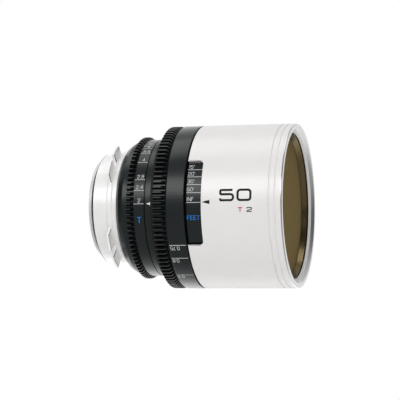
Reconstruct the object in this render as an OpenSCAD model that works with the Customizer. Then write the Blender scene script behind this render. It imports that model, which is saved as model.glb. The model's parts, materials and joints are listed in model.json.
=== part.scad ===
// Cinema prime lens, lying along X with its front towards +X and +Z up.
// The origin is on the optical axis, in the plane where the mount's lugs seat on a camera.
// The index marks face -Y.

/* [Mount] */
// Diameter of the tube that enters the camera
tube_d = 54; // [52:0.5:58]
// Length of the tube behind the seating plane
tube_len = 8; // [7:0.5:12]
// Wall of the tube
tube_wall = 1.8; // [1.4:0.1:2.2]
// Chamfer round the tube's rear edge
tube_chamfer = 0.5; // [0.2:0.1:0.8]
// Diameter over the four locking lugs
lug_d = 67; // [64:0.5:72]
// Thickness of a lug
lug_t = 1.5; // [1.2:0.1:2.5]
// Angle that one lug spans
lug_angle = 39; // [30:1:50]
// Width of the index slot in each lug
lug_slot_w = 4; // [3:0.5:6]
// Chamfer round the rim of the lugs
lug_chamfer = 0.3; // [0.1:0.1:0.5]
// Diameter of the neck in front of the lugs
neck_d = 56.8; // [56:0.2:60]
// Length from the seating plane to the shim
neck_len = 5; // [4.5:0.5:8]
// Thickness of the web that takes the mount screws
mount_web_t = 2.5; // [2:0.1:3]
// Thickness of the back focus shim
shim_t = 0.2; // [0.1:0.05:0.5]

/* [Rear housing] */
// Diameter of the housing's rear lip
housing_rear_d = 62; // [60:0.5:64]
// Length of the housing's rear lip
housing_lip = 0.9; // [0.5:0.1:1.5]
// Length of the flare in front of the lip
housing_flare = 2.7; // [2:0.1:3.5]
// Diameter of the housing in front of the flare
housing_d = 65.6; // [65:0.2:68]
// Length of the housing
housing_len = 6; // [5.5:0.5:9]

/* [Gears] */
// Module of the follow focus gears
gear_module = 0.8; // [0.75:0.01:0.85]
// Teeth on the focus gear
focus_teeth = 98; // [97:1:104]
// Teeth on the iris gear
iris_teeth = 86; // [85:1:90]
// Flat width of the focus gear's teeth
focus_tooth_w = 4.3; // [3.5:0.1:6]
// Length of the sloped front end of the focus gear's teeth
focus_tooth_slope = 1.9; // [1:0.1:2.5]
// Flat width of the iris gear's teeth
iris_tooth_w = 3; // [2.5:0.1:4.5]
// Length of the sloped front end of the iris gear's teeth
iris_tooth_slope = 1.2; // [0.8:0.1:2]
// Chamfer on the rear end of the teeth
tooth_chamfer = 0.35; // [0.2:0.05:0.6]
// Rim of a gear under its teeth
gear_rim = 1.2; // [1:0.1:1.5]

/* [Iris ring] */
// Diameter of the T scale band and of the index band
iris_band_d = 67.6; // [67:0.2:69]
// Length of the T scale band
iris_band_len = 4.5; // [4:0.1:7]
// Wall of the iris ring
iris_ring_wall = 3.75; // [3.4:0.05:4.2]
// Angle that the iris ring turns
iris_throw = 62; // [50:1:70]
// Length of the fixed index band
index_len = 3.4; // [3:0.1:6]
// Groove between the T scale band and the index band
index_gap = 0.4; // [0.3:0.1:0.8]

/* [Focus ring] */
// Length of the smooth focus band
focus_band_len = 8.3; // [7:0.1:12]
// Groove between the focus gear and the focus band
focus_groove = 1; // [0.6:0.1:1.5]
// Bevel on the edges of the focus band
focus_bevel = 0.35; // [0.2:0.05:0.6]
// Least wall of the scale sleeve
scale_wall = 3.45; // [3:0.05:3.8]
// Length of the scale sleeve past the window
scale_overlap = 1.2; // [0.8:0.1:3]
// Angle that the focus ring turns
focus_throw = 150; // [120:5:170]
// Distance that the focus cell travels
focus_travel = 5; // [4:0.25:6]
// Thickness of the focus retainer
retainer_t = 1.4; // [1:0.1:2]

/* [Front barrel] */
// Diameter of the barrel, of the focus band and of the front
barrel_d = 80; // [79:0.5:84]
// Length from the barrel's rear edge to the lens's front plane
barrel_len = 46.4; // [46:0.1:60]
// Gap between the focus band and the barrel
barrel_gap = 0.9; // [0.5:0.1:1.5]
// Wall of the barrel round the scale sleeve
barrel_wall = 1.2; // [1:0.05:1.5]
// Wall of the barrel round the front cell
barrel_front_wall = 1.8; // [1.5:0.1:2.2]
// Length of the scale window
window_len = 7.4; // [6:0.1:9]
// Angle that the scale window spans
window_angle = 59.2; // [40:0.2:80]
// Radius of the window's corners
window_corner = 1; // [0.5:0.1:1.5]
// Thickness of the web that takes the barrel screws
barrel_web_t = 2.5; // [2:0.1:3.5]
// Length of the front rim
rim_len = 3.45; // [3:0.05:5]
// Rounding of the rim's outer edge
rim_round = 0.6; // [0.3:0.1:0.9]
// Width of the rim's flat front face
rim_face = 1.75; // [1.2:0.05:2.2]
// Depth of the bevel inside the rim
rim_bevel = 2.8; // [2:0.1:2.9]
// Width of the turned grooves round the front
groove_w = 0.7; // [0.4:0.1:1]
// Depth of the turned grooves round the front
groove_depth = 0.4; // [0.2:0.05:0.6]
// Distance from the rim to the groove behind it
groove_pitch = 2.85; // [2:0.05:5]

/* [Front group] */
// Depth of the front glass's edge behind the front plane
glass_depth = 6.2; // [5:0.1:8]
// Edge thickness of the front glass
front_glass_edge = 4; // [3:0.1:6]
// Crown of the front glass's outer face
front_glass_crown = 1.4; // [0.5:0.1:1.8]
// Wall of the front cell round the front glass
front_cell_wall = 1.05; // [0.8:0.05:1.3]
// Wall of the front retaining ring
front_ring_wall = 0.8; // [0.6:0.05:1.2]
// Radius of the second glass
second_glass_r = 29; // [28:0.5:30]

/* [Focus group] */
// Length of the focus cell
focus_cell_len = 18; // [17:0.5:19]
// Wall of the focus cell round its glasses
focus_cell_wall = 6.9; // [6:0.1:8]
// Radius of a cam roller
cam_roller_r = 1.25; // [1:0.05:1.4]
// Radius of a guide roller
guide_roller_r = 1.6; // [1.4:0.05:2]
// Radius of the pins that carry the rollers
roller_pin_r = 0.6; // [0.5:0.05:0.8]
// Depth of the cam groove in the focus ring
cam_depth = 1.55; // [1.3:0.05:1.8]

/* [Iris] */
// Radius of the blades' inner edge with the iris fully open
iris_open_r = 14; // [13:0.25:14.5]
// Width of a blade
blade_w = 5.6; // [4:0.1:5.6]
// Thickness of a blade
blade_t = 0.16; // [0.12:0.02:0.2]
// Axial distance from one blade to the next
blade_pitch = 0.3; // [0.26:0.02:0.4]
// Angle that a blade turns as the iris closes
blade_close = 35; // [25:1:36]
// Radius of the blades' pivot pins and drive pins
blade_pin_r = 0.6; // [0.5:0.05:0.8]
// Thickness of the base plate and of the cover
iris_plate_t = 1.2; // [1:0.1:1.6]
// Thickness of the cam ring
iris_cam_t = 2.2; // [2:0.1:2.6]
// Radius of the pin that drives the cam ring
drive_pin_r = 0.9; // [0.7:0.05:1]

/* [Rear group] */
// Length that the rear retaining ring stands behind the tube
rear_ring_len = 3.1; // [2:0.1:5]
// Diameter of the rear retaining ring
rear_ring_d = 48; // [46:0.5:49]
// Wall of the rear cell round its glasses
rear_cell_wall = 3.45; // [3:0.05:4]

/* [Clearances and fasteners] */
// Radial clearance of a ring that turns or a cell that slides
running_gap = 0.05; // [0.03:0.01:0.08]
// Radial clearance of a screwed or pressed seat
seat_gap = 0.05; // [0.02:0.01:0.1]
// Axial gap between a ring that turns and what holds it
end_gap = 0.3; // [0.2:0.05:0.5]
// Clearance of a pin or roller in its slot
slot_gap = 0.1; // [0.08:0.01:0.15]
// Radius of a screw's shank
screw_r = 0.9; // [0.7:0.05:1]
// Radius of a screw's head
screw_head_r = 1.6; // [1.4:0.05:1.7]
// Height of a screw's head
screw_head_h = 1.4; // [1.2:0.1:1.6]
// Length that a screw holds in its thread
screw_grip = 1.8; // [1.4:0.1:1.9]

/* [Hidden] */
$fn = 120;
slack = 1;
over = 0.25;
index_angle = 180;

// Finishes
silver = "gainsboro";
black = "#2b2d2f";
dark = "#151617";
steel = "silver";
grey = "darkgray";
brass_tone = "darkgoldenrod";
glass_tone = "#6b5b3a";

// Counts
lug_count = 4;
screw_count = 6;
roller_count = 3;
blade_count = 9;
cam_steps = 24;
slot_steps = 12;
ball_facets = 180;
round_steps = 5;

// Radii, from the outside inwards
tube_r = tube_d / 2;
tube_bore = tube_r - tube_wall;
lug_r = lug_d / 2;
neck_r = neck_d / 2;
screw_room = 0.25;
rear_cell_r = tube_bore - 2 * screw_head_r - 2 * screw_room;
rear_bore = rear_cell_r + seat_gap;
mount_screw_r = tube_bore - screw_head_r - screw_room;
housing_screw_r = neck_r - screw_head_r - screw_room - seat_gap;
rear_glass_r = rear_cell_r - rear_cell_wall;
barrel_r = barrel_d / 2;
scale_r = barrel_r - barrel_wall - end_gap;
focus_gear_r = gear_module * (focus_teeth + 2) / 2;
iris_gear_r = gear_module * (iris_teeth + 2) / 2;
pressure_angle = 20;
dedendum = 1.25;
tooth_depth = (1 + dedendum) * gear_module;
slope_cut = 0.2;
focus_gear_seat = focus_gear_r - tooth_depth - gear_rim;
focus_seat_wall = 1.95;
focus_bore = min(scale_r - scale_wall, focus_gear_seat - focus_seat_wall);
focus_seat = focus_bore - running_gap;
main_wall = 2;
main_bore = focus_seat - main_wall;
focus_cell_r = main_bore - running_gap;
focus_glass_r = focus_cell_r - focus_cell_wall;
iris_gear_seat = iris_gear_r - tooth_depth - gear_rim;
band_r = iris_band_d / 2;
iris_bore = band_r - iris_ring_wall;
iris_seat = iris_bore - running_gap;
chamber_r = iris_seat - main_wall;
main_web_r = housing_screw_r - screw_r - screw_room - main_wall / 2;
flange_step = 1.8;
flange_r = focus_seat + flange_step;
barrel_screw_r = (main_bore + flange_r) / 2;
front_bore = barrel_r - barrel_front_wall;
rim_spigot_wall = 0.95;
front_cell_r = front_bore - seat_gap - rim_spigot_wall - seat_gap;
front_glass_r = front_cell_r - front_cell_wall - seat_gap;
front_ring_r = front_glass_r - front_ring_wall;
lip_w = 2;
spigot_wall = 0.5;
spigot_r = second_glass_r + spigot_wall;
socket_r = screw_head_r / 2;
rim_bevel_slope = 0.77;
lip_r = barrel_r - rim_round - rim_face - rim_bevel * rim_bevel_slope;

// Stations along the axis, from the seating plane forwards
housing_x = neck_len + shim_t;
main_x = housing_x + housing_len;
main_web_t = 2;
iris_x = main_x + end_gap;
iris_band_x = iris_x + iris_tooth_w + iris_tooth_slope;
iris_end = iris_band_x + iris_band_len;
index_x = iris_end + index_gap;
index_end = index_x + index_len;
retainer_x = index_end + end_gap;
focus_x = retainer_x + retainer_t + end_gap;
focus_band_x = focus_x + focus_tooth_w + focus_tooth_slope + focus_groove;
focus_band_end = focus_band_x + focus_band_len;
barrel_x = focus_band_end + barrel_gap;
scale_end = barrel_x + window_len + scale_overlap;
flange_x = scale_end + 2 * end_gap;
flange_t = 5;
web_x = flange_x + flange_t;
web_end = web_x + barrel_web_t;
front_x = barrel_x + barrel_len;
rim_x = front_x - rim_len;
glass_x = front_x - glass_depth;
glass_seat_x = glass_x - front_glass_edge;
front_glass_hollow = 2;

// Second glass, behind the front glass
second_setback = 5;
second_x = web_end + second_setback;
second_glass_edge = 4;
second_glass_crown = 3;
second_glass_hollow = 3;
second_ring_t = 2;
second_ring_x = second_x + second_glass_edge;
second_end = second_ring_x + second_ring_t;

// Iris stations
base_x = main_x + main_web_t;
blade_x = base_x + iris_plate_t + blade_pitch;
cam_x = blade_x + blade_count * blade_pitch;
cover_x = cam_x + iris_cam_t + end_gap;
cover_end = cover_x + iris_plate_t;
drive_x = cam_x + iris_cam_t / 2;
cam_r = chamber_r - 2 * slot_gap;
notch_depth = 1.3;
drive_pin_end = band_r - iris_ring_wall / 3;

// Blade geometry: the pivot stands outside the blades, with the drive pin behind it
pivot_margin = 0.9;
pivot_r = iris_open_r + blade_w + pivot_margin;
cam_margin = 3;
cam_bore = pivot_r - cam_margin;
cover_margin = 2;
cover_bore = iris_open_r + cover_margin;
base_lap = 0.8;
base_bore = iris_open_r - base_lap;
drive_back = 22.5;
blade_sweep = 125;
blade_tip_r = 0.4 * blade_w;
blade_tab_r = 1.2;
drive_angle = 70;

// Focus drive
cell_setback = 2;
focus_cell_x = focus_x + cell_setback;
focus_cell_end = focus_cell_x + focus_cell_len;
roller_inset = 1.5;
roller_x = focus_band_x + cam_roller_r + roller_inset;
pin_depth = 4;
pin_foot = focus_cell_r - pin_depth;
stop_inset = 5;
stop_x = scale_end - stop_inset;
stop_r = 0.9;
stop_angle = 300;
roller_angle = 90;

// Focus glasses
focus_glass_x = focus_cell_x + lip_w;
focus_glass_edge = 4;
focus_glass_crown = 3;
focus_glass_hollow = 2;
focus_spacer_len = 5;
focus_spacer_x = focus_glass_x + focus_glass_edge;
focus_front_x = focus_spacer_x + focus_spacer_len;

// Rear glasses
rear_lip_t = 1.5;
rear_glass_edge = 3.5;
rear_spacer_len = 4;
rear_cell_end = main_x - end_gap;
rear_front_x = rear_cell_end - rear_lip_t - rear_glass_edge;
rear_back_x = rear_front_x - rear_spacer_len - rear_glass_edge;
rear_front_bulge = 1.5;
rear_front_hollow = 1.5;
rear_back_bulge = 2;
rear_back_hollow = 1;

// Screws
mount_screw_len = mount_web_t + shim_t + housing_len - slack;

// Point of a drive pin for one turn of the iris ring, seen from the turning cam ring
function drive_point(turn) =
  let (b = turn * blade_close / iris_throw,
       ax = pivot_r * cos(drive_back) - pivot_r,
       ay = -pivot_r * sin(drive_back),
       px = pivot_r + ax * cos(b) - ay * sin(b),
       py = ax * sin(b) + ay * cos(b))
  [px * cos(turn) + py * sin(turn), py * cos(turn) - px * sin(turn)];

// Point beside a drive pin's path, at a distance to its left
function beside_drive(turn, left) =
  let (a = drive_point(turn - 1), b = drive_point(turn + 1), d = (b - a) / norm(b - a))
  drive_point(turn) + left * [-d[1], d[0]];

// Outline of a gear with straight flanks
function gear_outline(teeth) =
  let (tip = gear_module * (teeth + 2) / 2,
       root = tip - tooth_depth,
       flank = gear_module * tan(pressure_angle),
       tip_half = (PI * gear_module / 4 - flank) / tip * 180 / PI,
       root_half = (PI * gear_module / 4 + dedendum * flank) / root * 180 / PI)
  [for (i = [0 : teeth - 1])
    for (p = [[root, -root_half], [tip, -tip_half], [tip, tip_half], [root, root_half]])
      p[0] * [cos(i * 360 / teeth + p[1]), sin(i * 360 / teeth + p[1])]];

// Turns a shape built along Z so that it lies along X
module on_axis() rotate([90, 0, 90]) children();

module turned(outline) rotate_extrude() polygon(outline);

module sleeve(outer, inner, from, to)
  turned([[inner, from], [outer, from], [outer, to], [inner, to]]);

module sector(outer, inner, from, to, start, span)
  rotate([0, 0, start]) rotate_extrude(angle = span)
    polygon([[inner, from], [outer, from], [outer, to], [inner, to]]);

module around(count, r, start = 0)
  for (i = [0 : count - 1]) rotate([0, 0, start + i * 360 / count]) translate([r, 0, 0]) children();

module post(r, from, to) translate([0, 0, from]) cylinder(r = r, h = to - from);

module spoke(r, inner, outer, z)
  translate([inner, 0, z]) rotate([0, 90, 0]) cylinder(r = r, h = outer - inner);

// Socket head screw with its seat at z; it runs forwards, or backwards when the way is -1
module cap_screw(z, length, way = 1) {
  translate([0, 0, z]) mirror([0, 0, way < 0 ? 1 : 0]) difference() {
    union() {
      post(screw_head_r, -screw_head_h, 0);
      post(screw_r, -screw_head_h / 2, length);
    }
    translate([0, 0, -screw_head_h - slack]) cylinder(r = socket_r, h = slack + screw_head_h / 2, $fn = 6);
  }
}

// Spherical dome of height h on a circle of radius r, rising along +Z from z
module dome(r, h, z) {
  ball = (r * r + h * h) / (2 * h);
  intersection() {
    translate([0, 0, z + h - ball]) sphere(r = ball, $fn = ball_facets);
    post(r, z - slack, z + h + slack);
  }
}

// Glass with a flat land round each face; a crown above 0 bulges out and one below 0 is hollow
module glass(r, from, edge, front_crown, rear_crown) {
  clear = r - lip_w - slot_gap;
  difference() {
    union() {
      post(r, from, from + edge);
      if (front_crown > 0) dome(clear, front_crown, from + edge);
      if (rear_crown > 0) mirror([0, 0, 1]) dome(clear, rear_crown, -from);
    }
    if (front_crown < 0) mirror([0, 0, 1]) dome(clear, -front_crown, -from - edge);
    if (rear_crown < 0) dome(clear, -rear_crown, from);
  }
}

// Camera mount
module lens_mount() color(steel) on_axis() difference() {
  union() {
    turned([[tube_bore, -tube_len], [tube_r - tube_chamfer, -tube_len], [tube_r, tube_chamfer - tube_len],
      [tube_r, 0], [neck_r, 0], [neck_r, neck_len], [rear_bore, neck_len],
      [rear_bore, neck_len - mount_web_t], [tube_bore, neck_len - mount_web_t]]);
    for (i = [0 : lug_count - 1])
      rotate([0, 0, (i + 0.5) * 360 / lug_count - lug_angle / 2]) rotate_extrude(angle = lug_angle)
        polygon([[tube_r, 0], [lug_r - lug_chamfer, 0], [lug_r, lug_chamfer],
          [lug_r, lug_t - lug_chamfer], [lug_r - lug_chamfer, lug_t], [tube_r, lug_t]]);
  }
  around(lug_count, neck_r, 180 / lug_count) translate([0, -lug_slot_w / 2, -slack])
    cube([lug_r, lug_slot_w, lug_t + 2 * slack]);
  around(screw_count, mount_screw_r) post(screw_r + seat_gap, 0, neck_len + slack);
}

module mount_shim() color(brass_tone) on_axis() difference() {
  sleeve(neck_r, rear_bore, neck_len, housing_x);
  around(screw_count, mount_screw_r) post(screw_r + seat_gap, 0, main_x);
}

module mount_screws() color(steel) on_axis()
  around(screw_count, mount_screw_r) cap_screw(neck_len - mount_web_t, mount_screw_len);

// Rear housing and the main barrel
module rear_housing() color(black) on_axis() difference() {
  turned([[rear_bore, housing_x], [housing_rear_d / 2, housing_x],
    [housing_rear_d / 2, housing_x + housing_lip],
    [housing_d / 2, housing_x + housing_lip + housing_flare], [housing_d / 2, main_x], [rear_bore, main_x]]);
  around(screw_count, mount_screw_r) post(screw_r + seat_gap, 0, main_x - slack / 2);
  around(screw_count, housing_screw_r, 180 / screw_count) {
    post(screw_r + seat_gap, 0, main_x + slack);
    post(screw_head_r + seat_gap, 0, housing_x + screw_head_h);
  }
}

module housing_screws() color(steel) on_axis()
  around(screw_count, housing_screw_r, 180 / screw_count)
    cap_screw(housing_x + screw_head_h, housing_len - screw_head_h + screw_grip);

module main_barrel() color(black) on_axis() difference() {
  step_x = focus_x - end_gap / 2;
  turned([[main_web_r, main_x], [iris_seat, main_x], [iris_seat, index_x], [band_r, index_x],
    [band_r, step_x], [focus_seat, step_x], [focus_seat, flange_x], [flange_r, flange_x],
    [flange_r, web_x], [main_bore, web_x], [main_bore, focus_x], [chamber_r, focus_x],
    [chamber_r, base_x], [main_web_r, base_x]]);
  around(screw_count, housing_screw_r, 180 / screw_count)
    post(screw_r + seat_gap, main_x - slack, base_x + slack);
  around(screw_count, barrel_screw_r) post(screw_r + seat_gap, web_x - screw_grip - slack / 2, web_x + slack);
  drive_slot();
  for (i = [0 : roller_count - 1]) rotate([0, 0, roller_angle + i * 360 / roller_count]) guide_slot();
  rotate([0, 0, stop_angle]) spoke(stop_r + seat_gap, main_bore - slack, focus_bore, stop_x);
}

// Arc slot that lets the iris drive pin through and stops it at both ends
module drive_slot() {
  half = drive_pin_r + slot_gap;
  end_angle = half / chamber_r * 180 / PI;
  sector(iris_seat + slack, chamber_r - slack, drive_x - half, drive_x + half,
    drive_angle - end_angle, iris_throw + 2 * end_angle);
}

// Straight slot that keeps a guide roller from turning
module guide_slot() {
  half = guide_roller_r + running_gap;
  for (z = [roller_x, roller_x + focus_travel]) spoke(half, main_bore - slack, focus_seat + slack, z);
  translate([main_bore - slack, -half, roller_x]) cube([main_wall + 2 * slack, 2 * half, focus_travel]);
}

module focus_retainer() color(dark) on_axis()
  sleeve(focus_gear_seat, band_r + seat_gap, retainer_x, retainer_x + retainer_t);

module focus_stop_pin() color(steel) on_axis() rotate([0, 0, stop_angle])
  spoke(stop_r, main_bore + end_gap, focus_bore + cam_depth - end_gap, stop_x);

// Silver front barrel with its scale window, and the rim screwed into its front
module front_barrel() color(silver) on_axis() difference() {
  groove_x = rim_x - groove_pitch;
  turned([[scale_r + end_gap, barrel_x], [barrel_r, barrel_x],
    [barrel_r, groove_x - groove_w / 2], [barrel_r - groove_depth, groove_x - groove_w / 4],
    [barrel_r - groove_depth, groove_x + groove_w / 4], [barrel_r, groove_x + groove_w / 2],
    [barrel_r, rim_x - groove_w / 2], [barrel_r - groove_depth, rim_x - groove_w / 4],
    [barrel_r - groove_depth, rim_x], [front_bore, rim_x], [front_bore, web_end],
    [spigot_r + seat_gap, web_end], [spigot_r + seat_gap, web_x],
    [flange_r + seat_gap, web_x], [flange_r + seat_gap, flange_x], [scale_r + end_gap, flange_x]]);
  scale_window();
  around(screw_count, barrel_screw_r) post(screw_r + seat_gap, web_x - slack, web_end + slack);
}

module scale_window() {
  corner_angle = window_corner / barrel_r * 180 / PI;
  start = index_angle - window_angle / 2;
  end_x = barrel_x + window_len;
  sector(barrel_r + slack, scale_r, barrel_x - slack, end_x - window_corner, start, window_angle);
  sector(barrel_r + slack, scale_r, barrel_x, end_x, start + corner_angle, window_angle - 2 * corner_angle);
  for (a = [start + corner_angle, start + window_angle - corner_angle])
    rotate([0, 0, a]) spoke(window_corner, scale_r, barrel_r + slack, end_x - window_corner);
}

module barrel_screws() color(steel) on_axis()
  around(screw_count, barrel_screw_r) cap_screw(web_end, barrel_web_t + screw_grip, -1);

module front_rim() color(silver) on_axis() {
  spigot_end = rim_x - groove_pitch;
  edge = [for (i = [0 : round_steps]) [barrel_r - rim_round + rim_round * cos(i * 90 / round_steps),
    front_x - rim_round + rim_round * sin(i * 90 / round_steps)]];
  turned(concat([[lip_r, rim_x + end_gap], [front_bore - seat_gap - rim_spigot_wall, rim_x + end_gap],
    [front_bore - seat_gap - rim_spigot_wall, spigot_end], [front_bore - seat_gap, spigot_end],
    [front_bore - seat_gap, rim_x], [barrel_r - groove_depth, rim_x],
    [barrel_r - groove_depth, rim_x + groove_w / 4], [barrel_r, rim_x + groove_w / 2]], edge,
    [[barrel_r - rim_round - rim_face, front_x], [lip_r, front_x - rim_bevel]]));
}

// Front group
module front_cell() color(dark) on_axis() {
  shoulder_r = barrel_screw_r - screw_head_r - screw_room;
  relief_x = web_end + screw_head_h + 2 * end_gap;
  turned([[second_glass_r - lip_w, web_x], [spigot_r, web_x], [spigot_r, web_end], [shoulder_r, web_end],
    [shoulder_r, relief_x], [front_cell_r, relief_x], [front_cell_r, rim_x],
    [front_glass_r + seat_gap, rim_x], [front_glass_r + seat_gap, glass_seat_x],
    [front_glass_r - lip_w, glass_seat_x], [front_glass_r - lip_w, second_end],
    [second_glass_r + seat_gap, second_end], [second_glass_r + seat_gap, second_x],
    [second_glass_r - lip_w, second_x]]);
}

module front_glass() color(glass_tone) on_axis()
  glass(front_glass_r, glass_seat_x, front_glass_edge, front_glass_crown, -front_glass_hollow);

module front_retaining_ring() color(dark) on_axis()
  sleeve(front_glass_r, front_ring_r, glass_x, rim_x);

module second_glass() color(glass_tone) on_axis()
  glass(second_glass_r, second_x, second_glass_edge, second_glass_crown, -second_glass_hollow);

module second_retaining_ring() color(dark) on_axis()
  sleeve(second_glass_r, second_glass_r - lip_w, second_ring_x, second_end);

// Focus ring: a toothed ring on a sleeve that carries the smooth band and the distance scale
module focus_ring() color(black) on_axis() difference() {
  turned([[focus_bore, focus_x], [focus_gear_seat, focus_x], [focus_gear_seat, focus_band_x],
    [barrel_r - focus_bevel, focus_band_x], [barrel_r, focus_band_x + focus_bevel],
    [barrel_r, focus_band_end - focus_bevel], [barrel_r - focus_bevel, focus_band_end],
    [scale_r, focus_band_end], [scale_r, scale_end], [focus_bore, scale_end]]);
  for (i = [0 : roller_count - 1]) cam_groove(roller_angle + i * 360 / roller_count);
  stop_slot();
}

// Helical groove that a cam roller follows from infinity to the closest distance
module cam_groove(start) {
  half = cam_roller_r + slot_gap;
  spare = (half + slot_gap) / focus_bore * 180 / PI;
  inner = focus_bore - slack / 2;
  outer = focus_bore + cam_depth;
  first = start - focus_throw - spare;
  span = focus_throw + 2 * spare;
  corners = [[inner, -half], [outer, -half], [outer, half], [inner, half]];
  points = [for (i = [0 : cam_steps])
    let (a = first + span * i / cam_steps, x = roller_x + focus_travel * (start - a) / focus_throw)
      for (c = corners) [c[0] * cos(a), c[0] * sin(a), x + c[1]]];
  last = 4 * cam_steps;
  sides = [for (i = [0 : cam_steps - 1]) for (k = [0 : 3])
    let (a = 4 * i + k, b = 4 * i + (k + 1) % 4)
      each [[a, b, b + 4], [a, b + 4, a + 4]]];
  ends = [[3, 2, 1], [3, 1, 0], [last, last + 1, last + 2], [last, last + 2, last + 3]];
  polyhedron(points, concat(sides, ends));
}

// Arc slot that ends the focus ring's turn at the stop pin
module stop_slot() {
  half = stop_r + slot_gap;
  end_angle = half / focus_bore * 180 / PI;
  sector(focus_bore + cam_depth, focus_bore - slack / 2, stop_x - half, stop_x + half,
    stop_angle - focus_throw - end_angle, focus_throw + 2 * end_angle);
}

module toothed_ring(teeth, tip, seat, from, flat_w, slope) difference() {
  to = from + flat_w + slope;
  drop = tooth_depth + slope_cut;
  intersection() {
    translate([0, 0, from]) linear_extrude(to - from) polygon(gear_outline(teeth));
    turned([[0, from], [tip - tooth_chamfer, from], [tip + over, from + tooth_chamfer + over],
      [tip + over, from + flat_w - over * slope / drop], [tip - drop, to], [0, to]]);
  }
  post(seat + seat_gap, from - slack, to + slack);
}

module focus_gear() color(dark) on_axis()
  toothed_ring(focus_teeth, focus_gear_r, focus_gear_seat, focus_x, focus_tooth_w, focus_tooth_slope);

// Focus cell, with the glasses that move to focus
module focus_cell() color(dark) on_axis() difference() {
  turned([[focus_glass_r - lip_w, focus_cell_x], [focus_cell_r, focus_cell_x], [focus_cell_r, focus_cell_end],
    [focus_glass_r + seat_gap, focus_cell_end], [focus_glass_r + seat_gap, focus_glass_x],
    [focus_glass_r - lip_w, focus_glass_x]]);
  around(roller_count, 0, roller_angle)
    spoke(roller_pin_r + seat_gap, pin_foot, focus_cell_r + slack, roller_x);
}

module focus_glass_rear() color(glass_tone) on_axis()
  glass(focus_glass_r, focus_glass_x, focus_glass_edge, -focus_glass_hollow, focus_glass_crown);

module focus_spacer() color(dark) on_axis()
  sleeve(focus_glass_r, focus_glass_r - lip_w, focus_spacer_x, focus_front_x);

module focus_glass_front() color(glass_tone) on_axis()
  glass(focus_glass_r, focus_front_x, focus_glass_edge, focus_glass_crown, -focus_glass_hollow);

module focus_cell_ring() color(dark) on_axis()
  sleeve(focus_glass_r, focus_glass_r - lip_w, focus_front_x + focus_glass_edge, focus_cell_end);

module roller(r, inner, outer) around(roller_count, 0, roller_angle) difference() {
  spoke(r, inner, outer, roller_x);
  spoke(roller_pin_r + running_gap, inner - slack, outer + slack, roller_x);
}

module guide_rollers() color(brass_tone) on_axis()
  roller(guide_roller_r, main_bore + end_gap / 2, focus_seat);

module cam_rollers() color(brass_tone) on_axis()
  roller(cam_roller_r, focus_bore + end_gap / 2, focus_bore + cam_depth - end_gap);

module roller_pins() color(steel) on_axis() around(roller_count, 0, roller_angle)
  spoke(roller_pin_r, pin_foot, focus_bore + cam_depth - end_gap, roller_x);

// Iris ring and what it turns
module iris_ring() color(black) on_axis() difference() {
  turned([[iris_bore, iris_x], [iris_gear_seat, iris_x], [iris_gear_seat, iris_band_x], [band_r, iris_band_x],
    [band_r, iris_end], [iris_bore, iris_end]]);
  rotate([0, 0, drive_angle]) spoke(drive_pin_r + seat_gap, iris_bore - slack, drive_pin_end, drive_x);
}

module iris_gear() color(dark) on_axis()
  toothed_ring(iris_teeth, iris_gear_r, iris_gear_seat, iris_x, iris_tooth_w, iris_tooth_slope);

module iris_drive_pin() color(steel) on_axis() rotate([0, 0, drive_angle])
  spoke(drive_pin_r, cam_r - notch_depth + slot_gap, drive_pin_end, drive_x);

module iris_cam_ring() color(dark) on_axis() difference() {
  sleeve(cam_r, cam_bore, cam_x, cam_x + iris_cam_t);
  rotate([0, 0, drive_angle]) translate([cam_r - notch_depth, -drive_pin_r - slot_gap, cam_x - slack])
    cube([notch_depth + slack, 2 * (drive_pin_r + slot_gap), iris_cam_t + 2 * slack]);
  around(blade_count, 0) blade_slot();
}

// Slot of the cam ring that leads one blade's drive pin outwards
module blade_slot() {
  half = blade_pin_r + slot_gap;
  turns = [for (i = [0 : slot_steps]) iris_throw * i / slot_steps];
  back = [for (i = [slot_steps : -1 : 0]) iris_throw * i / slot_steps];
  translate([0, 0, cam_x - slack]) {
    linear_extrude(iris_cam_t + 2 * slack)
      polygon(concat([for (t = turns) beside_drive(t, half)], [for (t = back) beside_drive(t, -half)]));
    for (t = [0, iris_throw]) translate(drive_point(t)) cylinder(r = half, h = iris_cam_t + 2 * slack);
  }
}

module iris_base() color(dark) on_axis() difference() {
  sleeve(chamber_r - seat_gap, base_bore, base_x, base_x + iris_plate_t);
  around(blade_count, pivot_r) post(blade_pin_r + running_gap, base_x - slack, base_x + iris_plate_t + slack);
}

module iris_cover() color(dark) on_axis() sleeve(chamber_r - seat_gap, cover_bore, cover_x, cover_end);

// One blade, with its pivot pin to the base plate and its drive pin to the cam ring
module iris_blade(i) color(dark) on_axis() rotate([0, 0, i * 360 / blade_count]) {
  z = blade_x + i * blade_pitch;
  top = z + blade_t;
  tip = iris_open_r + blade_w / 2;
  drive = drive_point(0);
  sector(iris_open_r + blade_w, iris_open_r, z, top, 0, blade_sweep);
  rotate([0, 0, blade_sweep]) translate([tip, 0, 0]) rotate([0, 0, -90]) post(blade_tip_r, z, top);
  translate([tip, -blade_tab_r, z]) cube([pivot_r - tip, 2 * blade_tab_r, blade_t]);
  translate([pivot_r, 0, 0]) post(blade_tab_r, z, top);
  translate(drive) post(blade_tab_r, z, top);
  translate([pivot_r, 0, z]) rotate([0, 0, -90 - drive_back / 2]) translate([0, -blade_tab_r, 0])
    cube([2 * pivot_r * sin(drive_back / 2), 2 * blade_tab_r, blade_t]);
  translate([pivot_r, 0, 0]) post(blade_pin_r, base_x + end_gap, top);
  translate(drive) post(blade_pin_r, z, cam_x + iris_cam_t);
}

// Rear group
module rear_cell() color(dark) on_axis()
  turned([[rear_glass_r + seat_gap, -tube_len], [rear_cell_r, -tube_len], [rear_cell_r, rear_cell_end],
    [rear_glass_r - lip_w, rear_cell_end], [rear_glass_r - lip_w, rear_front_x + rear_glass_edge],
    [rear_glass_r + seat_gap, rear_front_x + rear_glass_edge]]);

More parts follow.
